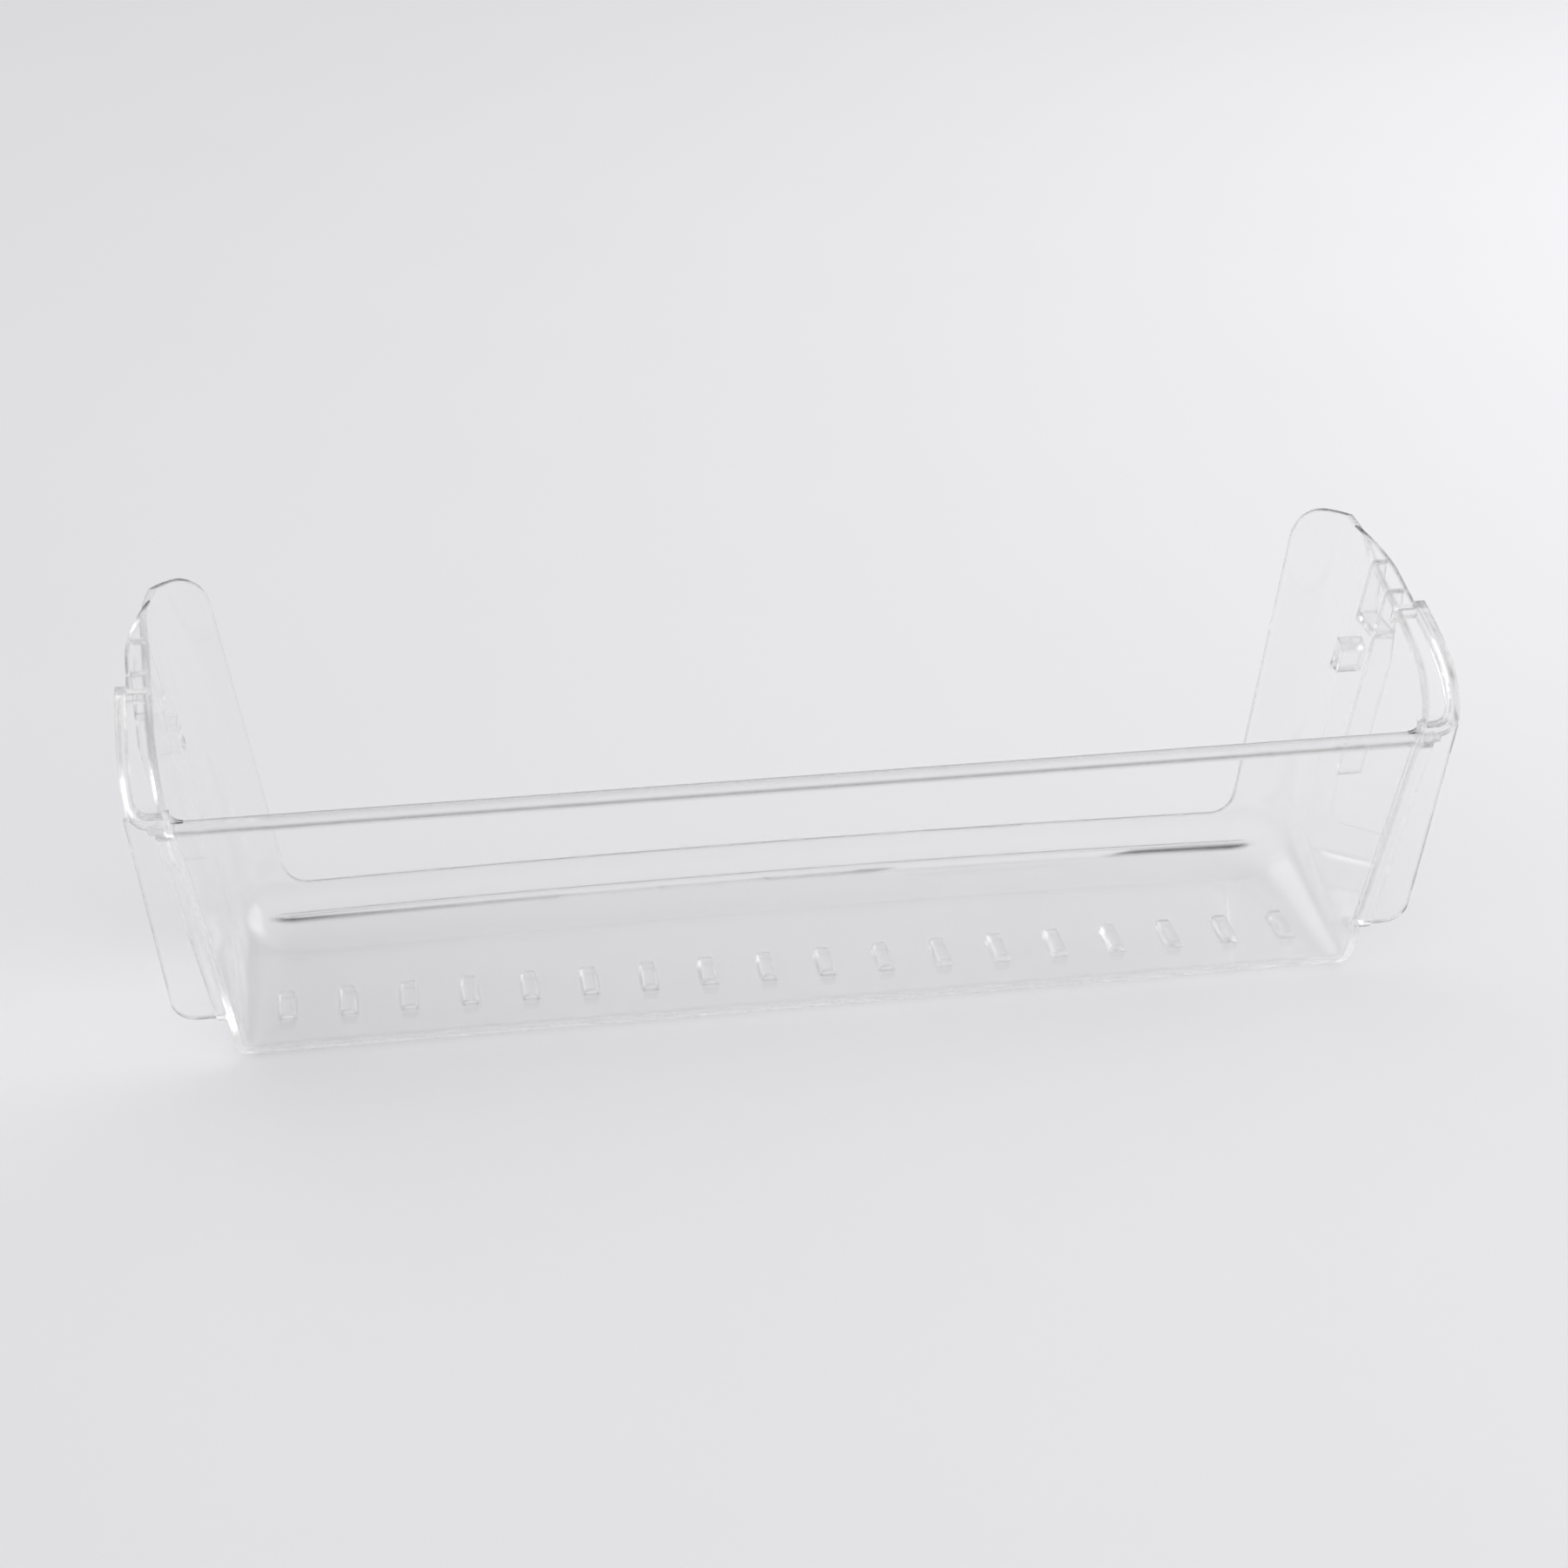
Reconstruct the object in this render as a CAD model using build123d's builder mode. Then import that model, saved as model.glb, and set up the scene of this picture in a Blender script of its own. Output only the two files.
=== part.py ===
"""Clear moulded fridge door shelf: an open-backed tray whose tall end walls drop over bosses in the door."""
import os
from math import asin, degrees, tan

from build123d import *

# Tray, in mm. Front is -Y, up is +Z, the underside rests on Z = 0.
wall = 2.4
depth = 119.8
rim_height = 101.0
rim_half_width = 227.5
toe_out = 2.8
end_lean = 0.169
front_lean = 0.095
rear_lean = 0.1
rear_bow = 5.0
bow_half_width = 150.0
rear_setback = 2.3
rear_round = 26.0
cove_front = 6.0
cove_rear = 36.0
heel_radius = 9.0
overrun = 15.0

# Thickened rim along the top of the front wall.
rim_rise = 5.0
rim_bead = 1.1
rim_round = 1.9
rim_web_radius = 4.5

# Curved top edge of the end walls: shares of the depth behind the front, and rises above the rim.
crest_start = 2.6
crest_bite = 1.0
crest_round = 1.5
crest_places = ((0.035, 10.0), (0.104, 18.5), (0.25, 25.5), (0.476, 31.0), (0.70, 35.5), (0.835, 40.5))
apex_place = (0.935, 46.5)
tail_place = (1.052, 48.0)

# Outward flange along that edge, wider at the cheeks beside the rim.
flange_width = 6.2
flange_thickness = 2.6
flange_corner = 46.0
cheek_width = 11.6
cheek_length = 57.0
cheek_corner = 8.0
cheek_raise = 3.0
cheek_lip_width = 2.6
cheek_lip_depth = 5.0
cheek_lip_cover = 0.5

# Posts: thick borders down both sides of the front wall.
post_width = 4.0
post_bottom = 21.0
post_round = 1.8

# Aprons: flat continuations of the front below the cheeks.
apron_setback = 5.0
apron_thickness = 2.2
apron_bottom = 17.5
apron_reach = 14.5
apron_taper = 9.0
apron_corner = 9.0
apron_overlap = 5.0
between_depth = 20.0

# Rear opening above a low lip.
lip_height = 19.0
opening_inset = 18.4
opening_lean = 0.17
opening_radius = 10.0
opening_depth = 30.0
opening_shoulder = 14.0
shoulder_drop = 0.5

# Guides on the outer faces that take the bosses of the door, placed from the rear edge.
guide_reach = 10.0
guide_margin = 12.0
guide_thickness = 2.2
guide_bottom = 56.0
boss_width = 23.8
stop_rise = 12.5
tie_lead = 6.0
latch_inset = 20.8
latch_depth = 7.0
latch_height = 9.0
latch_drop = 13.5
latch_ramp = 3.0

# Floor details.
nib_count = 18
nib_inset = 16.6
nib_width = 5.8
nib_length = 17.0
nib_height = 2.4
nib_front = 35.0
nib_round = 1.4
bar_height = 7.6
bar_width = 2.2
bar_inset = 20.3
bar_margin = 4.4

# Sizes that follow from those above.
front_y = -depth / 2
rim_top = rim_height + rim_rise
rim_depth = wall + 2 * rim_bead
reach = rim_half_width + apron_reach + overrun
mould_height = rim_height + tail_place[1] + overrun
floor_half_width = rim_half_width - end_lean * rim_height
bow_radius = bow_half_width * (rim_half_width + toe_out - bow_half_width / 2) / rear_bow
bow_angle = degrees(asin(bow_half_width / bow_radius))
bow_y = front_y + depth - rear_setback + rear_bow - bow_radius
cove_growth = (cove_rear - cove_front) / depth
latch_rear = depth - latch_inset
latch_front = latch_rear - latch_depth
latch_bottom = rim_height - latch_drop
tie_front = latch_front - tie_lead
guide_front = latch_front - boss_width - guide_thickness
nib_pitch = 2 * (floor_half_width - nib_inset) / (nib_count - 1)
post_drop = rim_height - post_bottom
stop_bottom = rim_height + stop_rise
stop_length = tie_front - guide_front + guide_thickness


def from_front(distance):
    """Y of a place measured back from the front of the rim."""
    return front_y + distance


def side_point(place):
    """Side-view position of a share of the depth and a rise above the rim."""
    return (from_front(place[0] * depth), rim_height + place[1])


def rear_block(rear_grow, base):
    """Solid whose leaning rear is bowed in the middle and runs on straight towards both ends."""
    ahead = from_front(-depth)
    low = from_front(depth - rear_setback + rear_bow + rear_grow + rear_lean * (base - rim_height))
    high = low + rear_lean * (mould_height - base)
    with BuildPart() as block:
        with BuildSketch(Plane.YZ):
            with BuildLine():
                Polyline((ahead, base), (low, base), (high, mould_height), (ahead, mould_height), close=True)
            make_face()
        revolve(axis=Axis((0, bow_y, 0), (0, 0, 1)), revolution_arc=bow_angle)
        extrude(faces().filter_by(GeomType.PLANE).sort_by(Axis.X)[0], amount=reach)
        mirror(about=Plane.YZ)
    return block.part


def tray_body(grow, rear_grow, corner, base, rounded):
    """Drafted solid with the outline of the tray, grown outwards by margins, from a base height upwards.

    A rounded body has a heel along the front and coves along the ends: cones that touch the floor and the end
    wall, and widen towards the rear.
    """
    front_low = from_front(rim_bead - grow + front_lean * (rim_height - base))
    front_high = from_front(rim_bead - grow - front_lean * (mould_height - rim_height))
    beyond = from_front(depth + 2 * overrun)
    cove_apex = -(cove_front + grow) / cove_growth
    apex_half = rim_half_width + grow - end_lean * (rim_height - base)
    apex_half += toe_out * (cove_apex - rim_bead) / depth
    up = Vector(0, 0, 1)
    rear = rear_block(rear_grow, base)
    with BuildPart() as body:
        with Locations((0, 0, base)):
            Box(2 * reach, 2 * reach, mould_height - base, align=(Align.CENTER, Align.CENTER, Align.MIN))
        for side in (-1, 1):
            end = Plane(origin=(side * (rim_half_width + grow), from_front(rim_bead), rim_height),
                        z_dir=(side, -toe_out / depth, -end_lean))
            split(bisect_by=end, keep=Keep.BOTTOM)
            if rounded:
                apex = Vector(side * apex_half, from_front(cove_apex), base)
                middle = (up - end.z_dir) * (1 / (1 - up.dot(end.z_dir)))
                axis = Vector(side * toe_out / depth, 1, 0).normalized() + middle * cove_growth
                length = axis.length * (beyond - from_front(cove_apex))
                floor_line = axis - up * cove_growth
                end_line = axis + end.z_dir * cove_growth
                split(bisect_by=Plane(origin=apex, z_dir=floor_line.cross(end_line) * side), keep=Keep.BOTTOM)
                with Locations(Plane(origin=apex, z_dir=axis)):
                    Cone(0, length * tan(asin(cove_growth / axis.length)), length,
                         align=(Align.CENTER, Align.CENTER, Align.MIN))
        with BuildSketch(Plane.YZ):
            with BuildLine():
                Polyline((front_low, base), (beyond, base), (beyond, mould_height),
                         (front_high, mould_height), close=True)
            make_face()
            if rounded:
                fillet(vertices().group_by(Axis.Y)[0].sort_by(Axis.X)[0], heel_radius + grow)
        extrude(amount=reach, both=True, mode=Mode.INTERSECT)
        add(rear, mode=Mode.INTERSECT)
        corner_half = rim_half_width + toe_out + grow
        corner_y = from_front(depth - rear_setback + rear_grow)
        corners = [(side * corner_half, corner_y, rim_height) for side in (-1, 1)]
        fillet([edges().sort_by_distance(place)[0] for place in corners], corner)
    return body.part


outside = tray_body(0, 0, rear_round, 0, True)
inside = tray_body(-wall, -wall, rear_round - wall, wall, True)
guide_limit = tray_body(guide_reach, guide_reach, rear_round + guide_reach, 0, False)
flange_limit = tray_body(flange_width, 0, flange_corner, 0, False)

# Side view of the top edge, used for the trim and for the flange.
crest_foot = (from_front(crest_start), rim_height + crest_bite)
with BuildLine() as crest:
    Spline(crest_foot, *[side_point(place) for place in crest_places], side_point(apex_place))

crest_middle = crest.line @ 0.5
crest_height = crest_middle.Y + flange_thickness / 2
crest_half = (rim_half_width - wall + toe_out * (crest_middle.X - front_y) / depth
              + end_lean * (crest_height - rim_height))

with BuildPart() as trim:
    with BuildSketch(Plane.YZ):
        with BuildLine():
            add(crest.line)
            Spline(side_point(apex_place), side_point(tail_place), tangents=(crest.line % 1, (1, 0)))
            Polyline(side_point(tail_place), (side_point(tail_place)[0], mould_height + overrun),
                     (from_front(-overrun), mould_height + overrun),
                     (from_front(-overrun), crest_foot[1]), crest_foot)
        make_face()
    extrude(amount=reach, both=True)

# Guides: a vertical rib and a stop above each boss, a tie up to the flange, and a ramped latch behind.
with BuildPart() as guides:
    with BuildSketch(Plane.YZ):
        with Locations((from_front(guide_front), guide_bottom)):
            Rectangle(guide_thickness, mould_height - guide_bottom, align=(Align.MIN, Align.MIN))
        with Locations((from_front(guide_front), stop_bottom)):
            Rectangle(stop_length, guide_thickness, align=(Align.MIN, Align.MIN))
        with Locations((from_front(tie_front), stop_bottom)):
            Rectangle(guide_thickness, mould_height - stop_bottom, align=(Align.MIN, Align.MIN))
        with BuildLine():
            Polyline((from_front(latch_front), latch_bottom), (from_front(latch_rear), latch_bottom),
                     (from_front(latch_rear), latch_bottom + latch_height + latch_ramp),
                     (from_front(latch_front), latch_bottom + latch_height), close=True)
        make_face()
    extrude(amount=rim_half_width + guide_margin, both=True)
    add(guide_limit, mode=Mode.INTERSECT)

# Flange along the top edge of each end wall.
with BuildPart() as flange:
    with BuildSketch(Plane.YZ):
        with BuildLine():
            add(crest.line)
        trace(line_width=flange_thickness)
    extrude(amount=reach, both=True)
    add(flange_limit, mode=Mode.INTERSECT)

# Cheeks: the wide front part of the flange with a turned-back lip along the outer edge.
cheek_bottom = rim_height + cheek_raise
cheek_half = rim_half_width + cheek_width + end_lean * cheek_raise
cheek_top_half = cheek_half + end_lean * (mould_height - cheek_bottom)
cheek_lip_shift = (cheek_lip_depth + cheek_lip_cover) / (1 + 2 ** 0.5)
cheek_lip_line = flange_thickness + 2 * (cheek_lip_shift - cheek_lip_cover)


def cheek_outline():
    """Front-view outline that both cheeks share."""
    return Polyline((-cheek_half, cheek_bottom), (cheek_half, cheek_bottom), (cheek_top_half, mould_height),
                    (-cheek_top_half, mould_height), close=True)


with BuildPart() as cheeks:
    with BuildSketch(Plane.YZ):
        with BuildLine():
            add(crest.line)
        trace(line_width=flange_thickness)
    extrude(amount=reach, both=True)
    with BuildSketch(Plane.XZ.offset(-from_front(cheek_length))):
        with BuildLine():
            cheek_outline()
        make_face()
        fillet(vertices().group_by(Axis.Y)[0], cheek_corner)
    extrude(amount=cheek_length + overrun, mode=Mode.INTERSECT)

# Turned-back lip round the outer and rear edges of each cheek, starting within the thickness of the cheek.
with BuildPart() as cheek_border:
    with BuildSketch(Plane.XZ.offset(-from_front(cheek_length))):
        with BuildLine():
            cheek_outline()
        make_face()
        fillet(vertices().group_by(Axis.Y)[0], cheek_corner)
        offset(amount=-cheek_lip_width, mode=Mode.SUBTRACT)
    extrude(amount=cheek_length + overrun)
    with BuildSketch(Plane.XZ.offset(-from_front(cheek_length))):
        with BuildLine():
            cheek_outline()
        make_face()
    extrude(amount=cheek_lip_width)

with BuildPart() as cheek_lips:
    with BuildSketch(Plane.YZ):
        with BuildLine():
            add(crest.line.moved(Location((cheek_lip_shift, -cheek_lip_shift, 0))))
        trace(line_width=cheek_lip_line)
    extrude(amount=reach, both=True)
    add(cheek_border.part, mode=Mode.INTERSECT)

# Aprons, parallel to the leaning front wall and set back from it.
apron_half_top = rim_half_width + apron_reach
apron_half_bottom = apron_half_top - apron_taper
apron_drop = rim_height - apron_bottom
apron_plane = Plane(origin=(0, from_front(rim_bead + apron_setback), rim_height), x_dir=(1, 0, 0),
                    z_dir=(0, -1, -front_lean))
with BuildPart() as aprons:
    with BuildSketch(apron_plane):
        with BuildLine():
            Polyline((-apron_half_top, apron_overlap), (-apron_half_bottom, -apron_drop),
                     (apron_half_bottom, -apron_drop), (apron_half_top, apron_overlap), close=True)
        make_face()
        fillet(vertices().group_by(Axis.Y)[0], apron_corner)
    extrude(amount=-apron_thickness)

# Posts as far out as the rim, with rounded front edges.
post_foot = rim_half_width - end_lean * post_drop
with BuildPart() as posts:
    with BuildSketch(apron_plane):
        with BuildLine():
            Polyline((rim_half_width - wall, 0), (rim_half_width + post_width, 0),
                     (post_foot + post_width, -post_drop), (post_foot - wall, -post_drop), close=True)
        make_face()
        mirror(about=Plane.YZ)
    extrude(amount=apron_setback + rim_bead)
    fronts = faces().filter_by(apron_plane).group_by(Axis.Y)[0]
    fillet(fronts.edges().filter_by(lambda edge: edge.bounding_box().size.Z > post_drop / 2), post_round)

# Clear space between the end walls at the front, kept free of the flange.
with BuildPart() as between:
    with BuildSketch(Plane.XZ.offset(-from_front(between_depth))):
        between_half = rim_half_width - wall
        between_top = between_half + end_lean * (mould_height - rim_height)
        with BuildLine():
            Polyline((-between_half, rim_height), (between_half, rim_height), (between_top, mould_height),
                     (-between_top, mould_height), close=True)
        make_face()
    extrude(amount=between_depth + overrun)

# Low bar across the foot of the rear cove, curved like the rear edge.
bar_half_length = floor_half_width - bar_margin
bar_y = from_front(depth - bar_inset)
with BuildPart() as bar:
    with BuildSketch(Plane.XY.offset(wall)):
        with BuildLine():
            ThreePointArc((-bar_half_length, bar_y), (0, bar_y + rear_bow), (bar_half_length, bar_y))
        trace(line_width=bar_width)
    extrude(amount=bar_height)
    add(outside, mode=Mode.INTERSECT)

with BuildPart() as door_shelf:
    add(outside)
    add(guides.part)
    add(trim.part, mode=Mode.SUBTRACT)
    add(flange.part)
    add(cheeks.part)
    add(cheek_lips.part)
    add(aprons.part)
    add(posts.part)
    add(inside, mode=Mode.SUBTRACT)
    add(between.part, mode=Mode.SUBTRACT)
    # Rounded inner edge along the crest.
    crest_edges = [(side * crest_half, crest_middle.X, crest_height) for side in (-1, 1)]
    fillet([edges().sort_by_distance(place)[0] for place in crest_edges], crest_round)
    # Rear opening with rounded lower corners.
    opening_half_bottom = floor_half_width - opening_inset
    shoulder_height = rim_height + apex_place[1] - shoulder_drop
    shoulder_half = opening_half_bottom + opening_lean * (shoulder_height - lip_height)
    with BuildSketch(Plane.XZ.offset(-from_front(depth + overrun))):
        with BuildLine():
            Polyline((0, lip_height), (opening_half_bottom, lip_height), (shoulder_half, shoulder_height),
                     (reach, shoulder_height), (reach, mould_height), (0, mould_height), close=True)
        make_face()
        fillet(vertices().sort_by_distance((opening_half_bottom, lip_height))[0], opening_radius)
        fillet(vertices().sort_by_distance((shoulder_half, shoulder_height))[0], opening_shoulder)
        mirror(about=Plane.YZ)
    extrude(amount=opening_depth + overrun, mode=Mode.SUBTRACT)
    # Rim.
    with BuildSketch(Plane.YZ):
        with Locations((from_front(rim_depth / 2), rim_height + rim_rise / 2)):
            RectangleRounded(rim_depth, rim_rise, rim_round)
    extrude(amount=rim_half_width + post_width, both=True)
    # Webs that round the rim into the end walls.
    web_half = rim_half_width + end_lean * rim_rise - wall
    with BuildSketch(Plane.XZ.offset(-from_front(rim_depth - rim_bead))):
        with BuildLine():
            web_edge = Polyline((web_half - rim_web_radius, rim_top), (web_half + wall / 2, rim_top),
                                (web_half + wall / 2, rim_top + rim_web_radius),
                                (web_half, rim_top + rim_web_radius))
            RadiusArc(web_edge @ 1, web_edge @ 0, rim_web_radius)
        make_face()
        mirror(about=Plane.YZ)
    extrude(amount=wall)
    # Short ribs along the front of the floor.
    with BuildSketch(Plane.XY.offset(wall)):
        with Locations((0, from_front(nib_front + nib_length / 2))):
            with GridLocations(nib_pitch, 1, nib_count, 1):
                Rectangle(nib_width, nib_length)
    nibs = extrude(amount=nib_height)
    fillet(nibs.faces().group_by(Axis.Z)[-1].edges().filter_by(Axis.Y), nib_round)
    add(bar.part)

os.makedirs("parts", exist_ok=True)
door_shelf.part.label = "door_shelf"
export_step(door_shelf.part, "parts/door_shelf.step")
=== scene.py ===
"""Looks of the clear moulded door shelf: its plastic, a pale floor, soft studio light and the camera."""
import math

import bpy
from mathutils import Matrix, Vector


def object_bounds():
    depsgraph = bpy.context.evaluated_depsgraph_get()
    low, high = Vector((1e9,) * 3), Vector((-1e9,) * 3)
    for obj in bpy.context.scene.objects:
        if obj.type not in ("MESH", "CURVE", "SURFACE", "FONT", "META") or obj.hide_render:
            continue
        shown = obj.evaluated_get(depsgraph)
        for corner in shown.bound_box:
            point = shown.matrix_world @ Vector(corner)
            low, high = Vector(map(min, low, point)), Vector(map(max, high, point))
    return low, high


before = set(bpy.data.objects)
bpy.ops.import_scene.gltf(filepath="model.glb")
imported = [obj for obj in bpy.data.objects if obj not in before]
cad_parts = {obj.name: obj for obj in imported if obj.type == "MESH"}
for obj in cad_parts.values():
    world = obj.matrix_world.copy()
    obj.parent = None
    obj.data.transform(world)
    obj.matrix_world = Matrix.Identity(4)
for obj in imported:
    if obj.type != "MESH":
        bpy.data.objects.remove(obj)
cad_low, cad_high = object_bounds()

# Clear plastic, in metres.
PLASTIC_IOR = 1.57
PLASTIC_LIGHT = (0.992, 0.992, 0.994, 1)
PLASTIC_DARK = (0.98, 0.98, 0.983, 1)
SHADOW_TINT = (0.95, 0.95, 0.95, 1)
ROUGH_LOW = 0.015
ROUGH_HIGH = 0.055
FLOW_STRETCH = (3.0, 14.0, 14.0)
FLOW_BUMP = 0.00002
HAZE_SCALE = 90.0
HAZE_LEVELS = (0.35, 0.75)
EDGE_RADIUS = 0.002
EDGE_SAMPLES = 2

# Stage, in metres.
FLOOR_SIZE = 14.0
FLOOR_GAP = 0.0002
FLOOR_COLOUR = (0.805, 0.80, 0.818, 1)
FLOOR_SHADE = (0.79, 0.785, 0.803, 1)
MOTTLE_SCALE = 6.0
SKY_BACK = (0.0, 0.0, 0.0, 1)
SKY_SIDE = (0.35, 0.35, 0.35, 1)
SKY_TURN = (0.45, 0.85)
SKY_HIGH = (0.87, 0.87, 0.87, 1)
SKY_RISE = (0.1, 0.6)
WINDOW_COLOUR = (1.4, 1.4, 1.4, 1)
WINDOW_WAY = (-0.42, 0.82, 0.42)
WINDOW_EDGE = (0.94, 0.985)
KEY_PLACE = (1.8, 0.4, 1.1)
KEY_TARGET = (0, 0, 0.05)
KEY_SIZE = (2.0, 1.0)
KEY_POWER = 18.0

# Light paths: clear walls lead light along inside them for many turns before it gets out.
BOUNCES = 64

# Camera: place and turn that the photograph was taken from.
CAMERA_PLACE = (-0.15114, -0.95395, 0.58201)
CAMERA_PITCH = 27.806
CAMERA_YAW = 8.899
CAMERA_LENS = 66.0
CAMERA_SENSOR = 36.0


class Shader:
    """Node tree of a material or of the world, with short calls to add nodes and link them."""

    def __init__(self, tree):
        self.tree = tree
        tree.nodes.clear()

    def node(self, kind, **values):
        """A new node; a value whose name is an input's, with _ for spaces, sets or links that input."""
        made = self.tree.nodes.new("ShaderNode" + kind)
        for name, value in values.items():
            socket = made.inputs.get(name.replace("_", " "))
            if socket is None:
                setattr(made, name, value)
            elif isinstance(value, bpy.types.NodeSocket):
                self.tree.links.new(value, socket)
            else:
                socket.default_value = value
        return made

    def link(self, start, end):
        """Joins an output to an input."""
        self.tree.links.new(start, end)


def ramp(shader, factor, low, high):
    """Colour that goes from one to another with a factor."""
    made = shader.node("ValToRGB", Fac=factor)
    made.color_ramp.elements[0].color = low
    made.color_ramp.elements[1].color = high
    return made.outputs["Color"]


def fade(shader, value, levels, low=0.0, high=1.0):
    """Smooth change from low to high while a value passes from one level to another."""
    made = shader.node("MapRange", Value=value, interpolation_type="SMOOTHSTEP", To_Min=low, To_Max=high,
                       From_Min=levels[0], From_Max=levels[1])
    return made.outputs["Result"]


def clear_plastic():
    """Clear styrene as it leaves a polished mould: faint flow waves, slightly round edges and a little haze."""
    material = bpy.data.materials.new("clear_plastic_finish")
    material.use_nodes = True
    shader = Shader(material.node_tree)
    place = shader.node("TexCoord").outputs["Object"]
    stretched = shader.node("Mapping", Vector=place, Scale=FLOW_STRETCH).outputs["Vector"]
    flow = shader.node("TexNoise", Vector=stretched, Scale=1.0, Detail=2.0).outputs["Fac"]
    haze = shader.node("TexNoise", Vector=place, Scale=HAZE_SCALE, Detail=2.0).outputs["Fac"]
    edges = shader.node("Bevel", samples=EDGE_SAMPLES, Radius=EDGE_RADIUS).outputs["Normal"]
    bump = shader.node("Bump", Height=flow, Distance=FLOW_BUMP, Strength=1.0, Normal=edges)
    plastic = shader.node("BsdfPrincipled", Base_Color=ramp(shader, flow, PLASTIC_DARK, PLASTIC_LIGHT),
                          Roughness=fade(shader, haze, HAZE_LEVELS, ROUGH_LOW, ROUGH_HIGH),
                          Normal=bump.outputs["Normal"], IOR=PLASTIC_IOR, Transmission_Weight=1.0)
    lamp_way = shader.node("BsdfTransparent", Color=SHADOW_TINT)
    mix = shader.node("MixShader", Fac=shader.node("LightPath").outputs["Is Shadow Ray"])
    shader.link(plastic.outputs["BSDF"], mix.inputs[1])
    shader.link(lamp_way.outputs["BSDF"], mix.inputs[2])
    shader.node("OutputMaterial", Surface=mix.outputs["Shader"])
    return material


def pale_floor():
    """Matt pale paper, barely mottled."""
    material = bpy.data.materials.new("pale_floor")
    material.use_nodes = True
    shader = Shader(material.node_tree)
    place = shader.node("TexCoord").outputs["Object"]
    mottle = shader.node("TexNoise", Vector=place, Scale=MOTTLE_SCALE, Detail=3.0).outputs["Fac"]
    colour = ramp(shader, mottle, FLOOR_SHADE, FLOOR_COLOUR)
    paper = shader.node("BsdfPrincipled", Base_Color=colour, Roughness=0.9)
    shader.node("OutputMaterial", Surface=paper.outputs["BSDF"])
    return material


def lay_floor():
    """Floor just under the shelf."""
    bpy.ops.mesh.primitive_plane_add(size=FLOOR_SIZE, location=(0, 0, cad_low.z - FLOOR_GAP))
    floor = bpy.context.object
    floor.name = "floor"
    floor.data.materials.append(pale_floor())


def softbox(name, place, target, size, power):
    """Large rectangular lamp that faces a target and leaves no mirror image of itself on the plastic."""
    lamp = bpy.data.lights.new(name, "AREA")
    lamp.shape = "RECTANGLE"
    lamp.size, lamp.size_y = size
    lamp.energy = power
    holder = bpy.data.objects.new(name, lamp)
    holder.location = place
    holder.rotation_euler = (Vector(target) - Vector(place)).to_track_quat("-Z", "Y").to_euler()
    holder.visible_glossy = False
    bpy.context.scene.collection.objects.link(holder)


def along(shader, way, direction):
    """How far a way points along a direction, from -1 to 1."""
    made = shader.node("VectorMath", operation="DOT_PRODUCT", Vector=way)
    made.inputs[1].default_value = Vector(direction).normalized()
    return made.outputs["Value"]


def light_world():
    """Pale studio, dim near the horizon at the back, with a soft window that shows as a streak in the right cove."""
    world = bpy.data.worlds.new("studio")
    bpy.context.scene.world = world
    world.use_nodes = True
    shader = Shader(world.node_tree)
    way = shader.node("TexCoord").outputs["Generated"]
    horizon = ramp(shader, fade(shader, along(shader, way, (0, 1, 0)), SKY_TURN), SKY_SIDE, SKY_BACK)
    height = fade(shader, along(shader, way, (0, 0, 1)), SKY_RISE)
    sky = shader.node("MixRGB", Fac=height, Color1=horizon, Color2=SKY_HIGH).outputs["Color"]
    window = fade(shader, along(shader, way, WINDOW_WAY), WINDOW_EDGE)
    mix = shader.node("MixRGB", Fac=window, Color1=sky, Color2=WINDOW_COLOUR)
    back = shader.node("Background", Color=mix.outputs["Color"], Strength=1.0)
    shader.node("OutputWorld", Surface=back.outputs["Background"])


def place_camera():
    """Camera at the photograph's angle."""
    camera = bpy.data.cameras.new("camera")
    camera.lens = CAMERA_LENS
    camera.sensor_width = CAMERA_SENSOR
    holder = bpy.data.objects.new("camera", camera)
    holder.location = CAMERA_PLACE
    holder.rotation_euler = (math.radians(90 - CAMERA_PITCH), 0, math.radians(-CAMERA_YAW))
    bpy.context.scene.collection.objects.link(holder)
    bpy.context.scene.camera = holder


def set_view():
    """Plain colours, and as many turns of light as clear walls need."""
    scene = bpy.context.scene
    scene.view_settings.view_transform = "Standard"
    for limit in ("max_bounces", "glossy_bounces", "transmission_bounces", "transparent_max_bounces"):
        setattr(scene.cycles, limit, BOUNCES)


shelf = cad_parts["door_shelf"]
shelf.material_slots[0].material = clear_plastic()
lay_floor()
light_world()
softbox("key", KEY_PLACE, KEY_TARGET, KEY_SIZE, KEY_POWER)
place_camera()
set_view()
